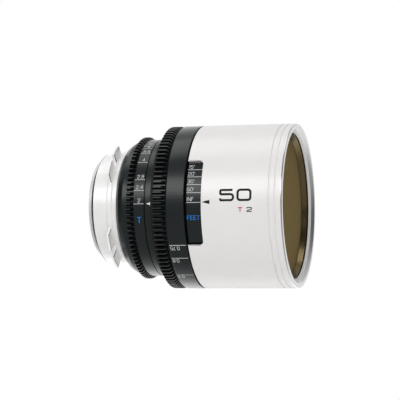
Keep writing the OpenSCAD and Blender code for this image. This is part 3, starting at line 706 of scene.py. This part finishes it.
sleeve = turn([
    (BARREL_REAR, BARREL_BORE, 0), (BARREL_REAR, BARREL_R, 0), (BARREL_SPLIT, BARREL_R, 0),
    (82.1, BARREL_R), (82.3, 39.5, 0), (82.7, 39.5, 0), (82.9, BARREL_R, 0.2), (85, BARREL_R),
    (85.175, 39.6, 0), (85.35, 39.6, 0), (85.35, 38.2), (59.1, 38.2), (59.1, 29.55), (56.6, 29.55),
    (56.6, 36.85), (51.6, 36.85), (51.6, BARREL_BORE)])
barrel = cut_away(sleeve, window_cutter())
bmesh.ops.recalc_face_normals(barrel, faces=barrel.faces[:])
outer = [e for e in folded(barrel) if max(v.co.x for v in e.verts) < BARREL_SPLIT * MM + WELD
         and min(map(reach, e.verts)) > BARREL_R - SLACK]
break_edges(barrel, outer, BARREL_EDGE, 3)
# The window's walls get the near-black of painted shade.
for face in barrel.faces:
    x, out = where(face)
    beside = BARREL_REAR + SLACK < x < WINDOW_END + SLACK
    face.material_index = 1 if beside and BARREL_BORE + SLACK < out < BARREL_R - BARREL_EDGE else 0
keep("barrel_sleeve", barrel, "front_barrel", [FINISH["silver_barrel"], PAINTED_SHADE_BLACK])

# %% [markdown]
# The front rim screws into the barrel and slopes inwards to the glass. Accessories clamp on its outside,
# so that wall is plain. It is one turned outline with a larger rounding in front. The round edge at the
# very front is polished, and the narrow lip that meets the ring of the glass is near-black, as painted
# shade in the gap there.

# %% The front rim
rim = turn([
    (85.65, 35.494), (85.65, 37.2), (82.5, 37.2), (82.5, 38.15), (85.35, 38.15), (85.35, 39.6, 0),
    (85.525, 39.6, 0), (85.7, BARREL_R), (88.8, BARREL_R, 0.6), (88.8, 37.65, 0.2), (87.15, 36.2, 0.4),
    (86.0, 35.494)])
# The lip at the glass's ring gets the near-black of painted shade.
for face in rim.faces:
    x, out = where(face)
    lip = x < 86.05 and out < 35.7
    polished = x > 88.3 or x > 87.15 and out < 38
    face.material_index = 2 if lip else 1 if polished else 0
keep("rim", rim, "front_rim", [FINISH["silver_barrel"], POLISHED_EDGE, PAINTED_SHADE_BLACK])

# %% [markdown]
# The first element is a thick glass with a bulging front and a hollow back, and the last one bulges to
# the rear. A sphere could be cut to make a dome, but it is simpler to spin one point about the dome's
# own centre: that draws the dome's half profile, and the lathe does the rest.

# %% The outer elements
GLASS_EDGE = 0.15
DOME_STEPS = 28


def dome(bm, x, clear, bulge):
    """Draws an arc from the axis to the clear radius at x, with its pole a bulge from x; gives its end."""
    radius = (clear ** 2 + bulge ** 2) / (2 * abs(bulge))
    side = 1 if bulge > 0 else -1
    pole = bm.verts.new(Vector((x + bulge, 0, 0)) * MM)
    middle = Vector((x + bulge - side * radius, 0, 0)) * MM
    arc = bmesh.ops.spin(bm, geom=[pole], cent=middle, axis=(0, 1, 0),
                         angle=-side * math.asin(clear / radius), steps=DOME_STEPS)
    return arc["geom_last"][0]


def element(front, rear, outside):
    """A glass from (X, clear radius, bulge) of its front and of its rear, and its outside radius."""
    bm = bmesh.new()
    ends = []
    for x, clear, bulge in (front, rear):
        edge = dome(bm, x, clear, bulge)
        corner = bm.verts.new(Vector((x, 0, outside)) * MM)
        bm.edges.new((edge, corner))
        ends.append(corner)
    bm.edges.new(ends)
    round_corners(bm, ends, [GLASS_EDGE * MM, GLASS_EDGE * MM])
    spin(bm)
    return bm


keep("front_element", element((82.6, 33.95, 1.4), (78.6, 32.0, 2.0), 36.05), "front_glass")
keep("rear_element", element((1.9, 14.0, -1.0), (-1.6, 15.95, -2.0), 18.05), "rear_glass_rear")

# %% [markdown]
# Threaded rings hold the outer elements. The front one is a smooth dark cone that opens to the front,
# with a painted reflection of the glass's amber. The rear one is grey at its end and black forward of
# it, inside and on the neck that sits in the mount's tube, where the black is painted shade. It is
# coned towards the film side. Both have slots for a spanner, cut with small blocks.

# %% The retaining rings
def slots(x, low, high, width, depth):
    """Two blocks that cut spanner slots into the end of a ring, on opposite sides."""
    bm = bmesh.new()
    bmesh.ops.create_cube(bm, size=1, matrix=Matrix.LocRotScale(
        Vector((x, 0, (low + high) / 2)) * MM, None, Vector((2 * depth, width, high - low)) * MM))
    copy_round(bm, 2)
    return bm


front_ring = turn([(82.75, 34.4, 0.05), (82.75, 36.05), (85.35, 36.05), (85.35, 35.4, 0.1)])
front_ring = cut_away(front_ring, slots(85.35, low=35.0, high=36.3, width=2.0, depth=0.5))
# The amber in this ring's finish is a painted reflection of the front glass.
keep("front_ring", front_ring, "front_retaining_ring", BLACK_WITH_AMBER_REFLECTION)
rear_ring = turn([
    (-1.6, 16.05), (-9.55, 16.05), (-11.1, 18.05), (-11.1, 24, 0.4), (-9.6, 24), (-9.6, 23.2), (-8, 23.2),
    (-8, 18.05), (-1.6, 18.05)])
rear_ring = cut_away(rear_ring, slots(-11.1, low=19.0, high=24.5, width=1.6, depth=1.0))
# Forward of its end the ring is black: real black inside, and painted shade on the neck in the mount's
# tube.
for face in rear_ring.faces:
    face.material_index = 1 if where(face)[0] > -9.55 else 0
keep("rear_ring", rear_ring, "rear_retaining_ring", [FINISH["rear_ring_grey"], FINISH["inner_black"]])

# %% [markdown]
# The numbers are cut by an engraving machine and filled with paint, so each is a stroke of one width
# with round corners. A font would be too varied in its width. Here a sign is a few points on a grid of
# 4 by 6, and a third number is a corner's own rounding: its wire is rounded, raised to a low wall, and
# the wall is thickened evenly to both sides.

# %% Strokes
SIGNS = {
    "0": (4, [[(0, 0), (4, 0), (4, 6), (0, 6), (0, 0)]]),
    "1": (1.6, [[(0, 4.6), (1.4, 6, 0), (1.4, 0)]]),
    "2": (4, [[(0, 4.5), (0, 6), (4, 6), (4, 3.5), (0, 1.2), (0, 0, 0), (4, 0)]]),
    "3": (4, [[(0, 6), (4, 6), (4, 3.1), (1.2, 3.1)], [(2.4, 3.1), (4, 3.1), (4, 0), (0, 0)]]),
    "4": (4, [[(3.1, 0), (3.1, 6, 0), (0, 1.7, 0), (4.2, 1.7)]]),
    "5": (4, [[(3.8, 6), (0, 6, 0.3), (0, 3.5, 0.3), (4, 3.5), (4, 0), (0, 0), (0, 1.1)]]),
    "6": (4, [[(3.7, 6), (0, 6), (0, 0), (4, 0), (4, 3.4), (0, 3.4, 0)]]),
    "7": (4, [[(0, 6), (4, 6, 0), (1.3, 0)]]),
    "8": (4, [[(0, 0), (4, 0), (4, 3.2), (0, 3.2), (0, 0)],
              [(0.3, 3.2), (3.7, 3.2), (3.7, 6), (0.3, 6), (0.3, 3.2)]]),
    "9": (4, [[(0.3, 0), (4, 0), (4, 6), (0, 6), (0, 2.6), (4, 2.6, 0)]]),
    ".": (0.4, [[(0.2, -0.4), (0.2, 0.5)]]),
    "'": (0.4, [[(0.2, 4.4), (0.2, 6.3)]]),
    "T": (4, [[(0, 6), (4, 6)], [(2, 6), (2, -0.3)]]),
    "I": (0.6, [[(0.3, -0.3), (0.3, 6.3)]]),
    "N": (4, [[(0, -0.3), (0, 6, 0), (4, 0, 0), (4, 6.3)]]),
    "F": (3.6, [[(0, -0.3), (0, 6, 0), (3.6, 6)], [(0, 3.2), (3.1, 3.2)]]),
    "E": (3.6, [[(3.6, 0), (0, 0, 0), (0, 6, 0), (3.6, 6)], [(0, 3.1), (3.1, 3.1)]]),
}
GRID_WIDE = 4
GRID_HIGH = 6
CORNER_SHARE = 0.48
MARK_RISE = 0.03
MARK_DEPTH = 0.05
STROKE_STEP = 0.004


def draw_line(bm, line, at, across, up, corner):
    """Draws one line of a sign as a wire with rounded corners; at is the grid's origin in mm."""
    closed = line[0][:2] == line[-1][:2]
    points = line[:-1] if closed else line
    verts = wire(bm, [(at + Vector((p[0] * across, p[1] * up, 0))) * MM for p in points], closed)
    sizes = [(p[2] if len(p) > 2 else corner) * across * MM for p in points]
    if not closed:
        sizes[0] = sizes[-1] = 0
    lengths = [min(e.calc_length() for e in v.link_edges) for v in verts]
    round_corners(bm, verts, [round(min(s, CORNER_SHARE * n), 7) for s, n in zip(sizes, lengths)], steps=5)


def strokes(text, width, height, pen, corner=1.2, gap=0.9):
    """A low relief of the text, centred on its foot line; corner and gap are in steps of the grid."""
    bm = bmesh.new()
    across, up = (width - pen) / GRID_WIDE, (height - pen) / GRID_HIGH
    space = gap * across
    start, lift = 0.0, 0.0
    for sign in text:
        wide, lines = SIGNS[sign]
        for line in lines:
            draw_line(bm, line, Vector((start + pen / 2, pen / 2, lift)), across, up, corner)
            lift += STROKE_STEP
        start += wide * across + pen + space
    new = bmesh.ops.extrude_edge_only(bm, edges=bm.edges[:])["geom"]
    bmesh.ops.translate(bm, verts=verts_in(new), vec=(0, 0, (MARK_RISE + MARK_DEPTH) * MM))
    bmesh.ops.recalc_face_normals(bm, faces=bm.faces[:])
    bmesh.ops.translate(bm, verts=bm.verts[:], vec=Vector(((space - start) / 2, 0, -MARK_DEPTH)) * MM)
    mesh = bpy.data.meshes.new("strokes")
    bm.to_mesh(mesh)
    bm.free()
    wall = bpy.data.objects.new("strokes", mesh)
    bpy.context.scene.collection.objects.link(wall)
    thick = wall.modifiers.new("pen", "SOLIDIFY")
    thick.thickness = pen * MM
    thick.offset = 0
    thick.use_even_offset = True
    return baked([wall])


# %% [markdown]
# A flat mark is bent round its ring: its X runs along the lens and its Y round it. On the far side of
# the lens the marks are read the other way up, so there they are turned half round before they are bent.
# Larger marks are first cut into strips a millimetre wide, so that they follow the curve. The cuts lie a
# little off the whole millimetres, where a mark may have its own corners.

# %% Bend marks round a ring
STRIP_SHIFT = 0.01


def plate(points):
    """A thin flat plate from its corners in mm."""
    bm = bmesh.new()
    face = bm.faces.new([bm.verts.new(Vector((x, y, -MARK_DEPTH)) * MM) for x, y in points])
    new = bmesh.ops.extrude_face_region(bm, geom=[face])["geom"]
    bmesh.ops.translate(bm, verts=verts_in(new), vec=(0, 0, (MARK_RISE + MARK_DEPTH) * MM))
    return bm


def bend(bm, x, radius, angle, turned=False):
    """Bends a flat mark round the lens with its own origin at the station and angle."""
    low, high = (f(v.co.y for v in bm.verts) for f in (min, max))
    for step in range(math.ceil(low / MM), math.ceil(high / MM)):
        bmesh.ops.bisect_plane(bm, geom=whole(bm), plane_co=(0, (step + STRIP_SHIFT) * MM, 0),
                               plane_no=(0, 1, 0))
    way = -1 if turned else 1
    for v in bm.verts:
        u, s, w = v.co / MM
        v.co = polar(x + way * u, radius + w, angle + math.degrees(way * s / radius))
    return bm


# %% [markdown]
# The paints that fill the engraving are matt, a little uneven, and sit almost flush. White marks the
# stops, the feet and the metres, blue names the scale, and black, grey and red stand on the silver
# barrel. A paint is one colour that a fine noise lifts a little.

# %% Engraving paints
def paint(name, colour):
    f = Finish(name)
    patch = f.noise(0.35, detail=4)
    paler = rgb(*(min(1.0, c * 1.12 + 0.004) for c in colour[:3]))
    return f.done(f.shader(Base_Color=f.mix(colour, paler, patch), Roughness=0.5 + 0.2 * patch,
                           Specular_IOR_Level=0.3, Normal=f.bump(patch, 0.004)))


WHITE = paint("white_paint", rgb(0.60, 0.60, 0.60))
INDEX_WHITE = paint("index_white", rgb(0.88, 0.88, 0.88))
BLUE = paint("blue_paint", rgb(0.012, 0.175, 0.58))
RED = paint("red_paint", rgb(0.50, 0.035, 0.035))
BLACK = paint("black_paint", rgb(0.008, 0.008, 0.009))
GREY = paint("grey_paint", rgb(0.035, 0.036, 0.038))

# %% [markdown]
# The iris band carries the stops, closer together towards the small ones, each with a line across the
# band. The same scale stands once on each side of the lens, so that it can be read from both. Turning
# the ring brings the larger numbers down to the index, so they sit at larger angles. The stop 11 has
# only its line, since its number would run into the next one.

# %% The stop scale
STOPS = (("2", 0), ("2.4", 11.0), ("2.8", 20.3), ("4", 37.2), ("5.6", 48.3), ("8", 55.4), ("11", 59.4),
         ("16", 62.0))
LINE_ONLY = "11"
SCALE_LINE = 0.25
STOP_LIFT = 1.2
LETTER_ANGLE = -15.7
SMALL_FIGURE = {"width": 1.3, "height": 1.85, "pen": 0.20}


def scale_line(low, high):
    """A thin line along the lens between two stations."""
    half = SCALE_LINE / 2
    return plate([(low, -half), (high, -half), (high, half), (low, half)])


stop_marks, stop_letter = bmesh.new(), bmesh.new()
for side, turned in ((0, False), (180, True)):
    lift = -STOP_LIFT if turned else STOP_LIFT
    for text, angle in STOPS:
        add(stop_marks, bend(scale_line(15.05, 20.1), 0, BAND_R, side + angle))
        if text != LINE_ONLY:
            add(stop_marks, bend(strokes(text, **SMALL_FIGURE), 17.8, BAND_R, side + angle + lift, turned))
    add(stop_letter, bend(strokes("T", 2.4, 3.0, 0.42), 17.7, BAND_R, side + LETTER_ANGLE, turned))
make("stop_scale", stop_marks, "iris_ring", WHITE)
make("stop_letter", stop_letter, "iris_ring", BLUE)

# %% [markdown]
# The sleeve under the window shows the distance in feet, and the band behind it the distance in metres
# for the far side, where the numbers stand the other way up. A helical focus moves the glass in
# proportion to one over the distance, so the marks crowd together towards infinity.

# %% The distance scales
FEET = (("INF", 0), ("60'", 6.9), ("30'", 12.7), ("20'", 18.5), ("15'", 24.0), ("12'", 29.8),
        ("10'", 36.7), ("8'", 45.9), ("7'", 52.4), ("6'", 61.2), ("5'", 73.4), ("4'", 91.8),
        ("3.5'", 104.9), ("3'", 122.3), ("2.5'", 146.8))
METRES = ("0.75", "0.8", "0.9", "1", "1.2", "1.5", "2", "3", "5", "10")
FOCUS_TURN = 99.8
PLANE_TO_GLASS = 0.085
DISTANCE_LIFT = 1.0


def half_length(word):
    """Half the length of a flat word in mm."""
    return max(v.co.x for v in word.verts) / MM


feet_marks, feet_word, metre_marks = bmesh.new(), bmesh.new(), bmesh.new()
for text, angle in FEET:
    add(feet_marks, bend(scale_line(42.6, 49.65), 0, SLEEVE_R, angle))
    word = strokes(text, **SMALL_FIGURE)
    add(feet_marks, bend(word, 42.9 + half_length(word), SLEEVE_R, angle + DISTANCE_LIFT))
add(feet_word, bend(strokes("FEET", 1.45, 2.15, 0.26), 45.9, SLEEVE_R, -12.3))
far_marks = [("INF", 180)] + [(m, 180 + FOCUS_TURN / (float(m) - PLANE_TO_GLASS)) for m in METRES]
for text, angle in far_marks:
    add(metre_marks, bend(scale_line(33.2, 41.4), 0, FOCUS_R, angle))
    word = strokes(text, 1.2, 1.9, 0.20)
    add(metre_marks, bend(word, 33.5 + half_length(word), FOCUS_R, angle - DISTANCE_LIFT, True))
make("feet_scale", feet_marks, "focus_ring", WHITE)
make("feet_word", feet_word, "focus_ring", BLUE)
make("metre_scale", metre_marks, "focus_ring", WHITE)

# %% [markdown]
# Fixed marks point at the scales: a white triangle on the index band and a black one on the barrel, on
# both sides. The barrel also carries the focal length in large black figures and the widest stop under
# it. They are plates and strokes like the marks of the scales.

# %% The index marks and figures
SIGN_ANGLE = -6.94


def pointer(tip, base, half):
    """A triangle with its tip towards the rear of the lens."""
    return plate([(tip, 0), (base, -half), (base, half)])


white_marks, black_marks, red_marks, grey_marks = (bmesh.new() for _ in range(4))
for side in (0, 180):
    add(white_marks, bend(pointer(21.35, 23.5, 0.75), 0, INDEX_R, side))
add(black_marks, bend(pointer(50.4, 54.3, 1.0), 0, BARREL_R, 0.1))
add(black_marks, bend(pointer(43.3, 46.7, 0.95), 0, BARREL_R, 180))
add(black_marks, bend(strokes("50", 7.2, 5.86, 1.06, corner=0.8, gap=0.725), 66.74, BARREL_R, 0.32))
add(red_marks, bend(strokes("T", 2.62, 2.25, 0.44), 68.99, BARREL_R, SIGN_ANGLE))
add(grey_marks, bend(strokes("2", 2.65, 2.25, 0.44), 73.43, BARREL_R, SIGN_ANGLE))
make("index_triangles", white_marks, "body", INDEX_WHITE)
make("barrel_figures", black_marks, "body", BLACK)
make("stop_sign", red_marks, "body", RED)
make("stop_figure", grey_marks, "body", GREY)

# %% [markdown]
# Four soft boxes light the lens. Two long ones run along it, one above the camera and one overhead, and
# show in its gloss; two more only fill the shadows and are kept out of reflections, where they would
# draw hard bands. The camera stands a little in front of the lens and a little below its axis.

# %% The lights and the camera
CAMERA_AT = Vector((246.0, -751.7, -44.4)) * MM
CAMERA_LOOK = Vector((-0.2653, 0.9621, 0.0614))
CAMERA_UP = Vector((0.0156, -0.0636, 0.9979))
CAMERA_LENS = 142.2
SENSOR = 36
MIDDLE = Vector((0.039, 0, 0))


def aim(obj, place, look, up):
    """Sets an object at a place, looking one way with its top towards up."""
    back = -look.normalized()
    right = up.cross(back).normalized()
    turned = Matrix((right, back.cross(right), back)).transposed().to_4x4()
    obj.matrix_world = Matrix.Translation(place) @ turned


def soft_box(name, place, wide, long, power, mirrored=True):
    """An area light that faces the lens, with its length along X; it may be kept out of reflections."""
    light = bpy.data.lights.new(name, "AREA")
    light.shape = "RECTANGLE"
    light.size = long
    light.size_y = wide
    light.energy = power
    obj = bpy.data.objects.new(name, light)
    bpy.context.scene.collection.objects.link(obj)
    obj.visible_glossy = mirrored
    up = Vector((0, 0, 1)) if abs(place.z) < 0.5 else Vector((0, 1, 0))
    aim(obj, place, MIDDLE - place, up)


soft_box("front_box", Vector((-0.06, -0.54, 0.26)), wide=0.24, long=0.9, power=1.65)
soft_box("top_box", Vector((-0.06, -0.01, 0.60)), wide=0.34, long=0.9, power=1.2)
soft_box("fill_box", Vector((0.05, -0.45, 0.55)), wide=0.5, long=0.9, power=0.5, mirrored=False)
soft_box("side_box", Vector((0.55, -0.60, -0.05)), wide=0.4, long=0.3, power=0.75, mirrored=False)

scene = bpy.context.scene
camera = bpy.data.objects.new("camera", bpy.data.cameras.new("camera"))
camera.data.lens = CAMERA_LENS
camera.data.sensor_width = SENSOR
scene.collection.objects.link(camera)
aim(camera, CAMERA_AT, CAMERA_LOOK, CAMERA_UP)
scene.camera = camera
print("camera", [round(c, 3) for c in camera.location])

# %% [markdown]
# The room is white to the camera, but not even: a dim room with a bright wall behind the lens, and dark
# flags at both ends, gives round metal its dark and light bands. Real walls and flags would do the same,
# but a world whose strength depends on the direction is easier to set. Reflections also get a glow from
# behind the lens's rear, which the black rings show along their lower edge, and a dark place behind the
# camera, as a photographer and a stand would make.

# %% The room
scene.view_settings.view_transform = "Standard"
scene.view_settings.look = "None"
scene.world = scene.world or bpy.data.worlds.new("studio")
scene.world.use_nodes = True
scene.world.node_tree.nodes.clear()
sky = Wire(scene.world.node_tree)
seen, mirrored = (sky.node("ShaderNodeLightPath", output=ray) for ray in ("Is Camera Ray", "Is Glossy Ray"))
way = sky.node("ShaderNodeTexCoord", output="Generated")
along, back, up = (sky.node("ShaderNodeSeparateXYZ", {}, {0: way}, axis) for axis in "XYZ")
dim_walls = 0.31 + 0.07 * up.between(-0.1, -0.5)
bright_wall = 0.69 * back.between(0.0, 0.6) * (1 - 0.55 * up.between(0.1, 0.6))
end_flags = (0.95 * sky.math("ABSOLUTE", along) + 0.2 * up).between(0.83, 0.93)
rear_glow = along.between(0.1, -0.1) * back.between(0.42, 0.80) * (1 + 1.2 * up.between(-0.2, -0.5))
dark_place = along.between(0.2, 0.3) * back.between(-0.3, -0.5) * up.between(-0.05, 0.1)
room = (dim_walls + bright_wall) * (1 - 0.75 * end_flags) + 0.5 * mirrored * rear_glow
room = room * (1 - 0.85 * mirrored * dark_place)
strength = room + (1 - room) * seen
backdrop = sky.node("ShaderNodeBackground", {}, {"Color": rgb(1, 1, 1), "Strength": strength})
sky.node("ShaderNodeOutputWorld", {}, {"Surface": backdrop})
print("room of", len(scene.world.node_tree.nodes), "nodes")

# %% [markdown]
# The floor is a large pale sheet, far enough below the lens to take no hard shadow. Its colour wanders a
# little, as paper does, and a trace of glow keeps it as white as the wall behind it. The lens does not
# mirror it, because the room already holds what comes from below.

# %% The floor
FLOOR_Z = -0.13
FLOOR_R = 0.45


def studio_paper():
    f = Finish("studio_paper")
    fibre = f.noise(3, detail=4)
    return f.done(f.shader(
        Base_Color=f.mix(rgb(0.93, 0.93, 0.93), rgb(0.96, 0.96, 0.96), fibre), Roughness=0.9,
        Emission_Color=rgb(1, 1, 1), Emission_Strength=0.12, Normal=f.bump(fibre, 0.02)))


paper = bmesh.new()
bmesh.ops.create_circle(paper, cap_ends=True, segments=96, radius=FLOOR_R,
                        matrix=Matrix.Translation((MIDDLE.x, 0, FLOOR_Z)))
floor_mesh = bpy.data.meshes.new("floor")
paper.to_mesh(floor_mesh)
paper.free()
floor_mesh.materials.append(studio_paper())
floor = bpy.data.objects.new("floor", floor_mesh)
floor.visible_glossy = False
scene.collection.objects.link(floor)
print("floor of radius", FLOOR_R, "m")
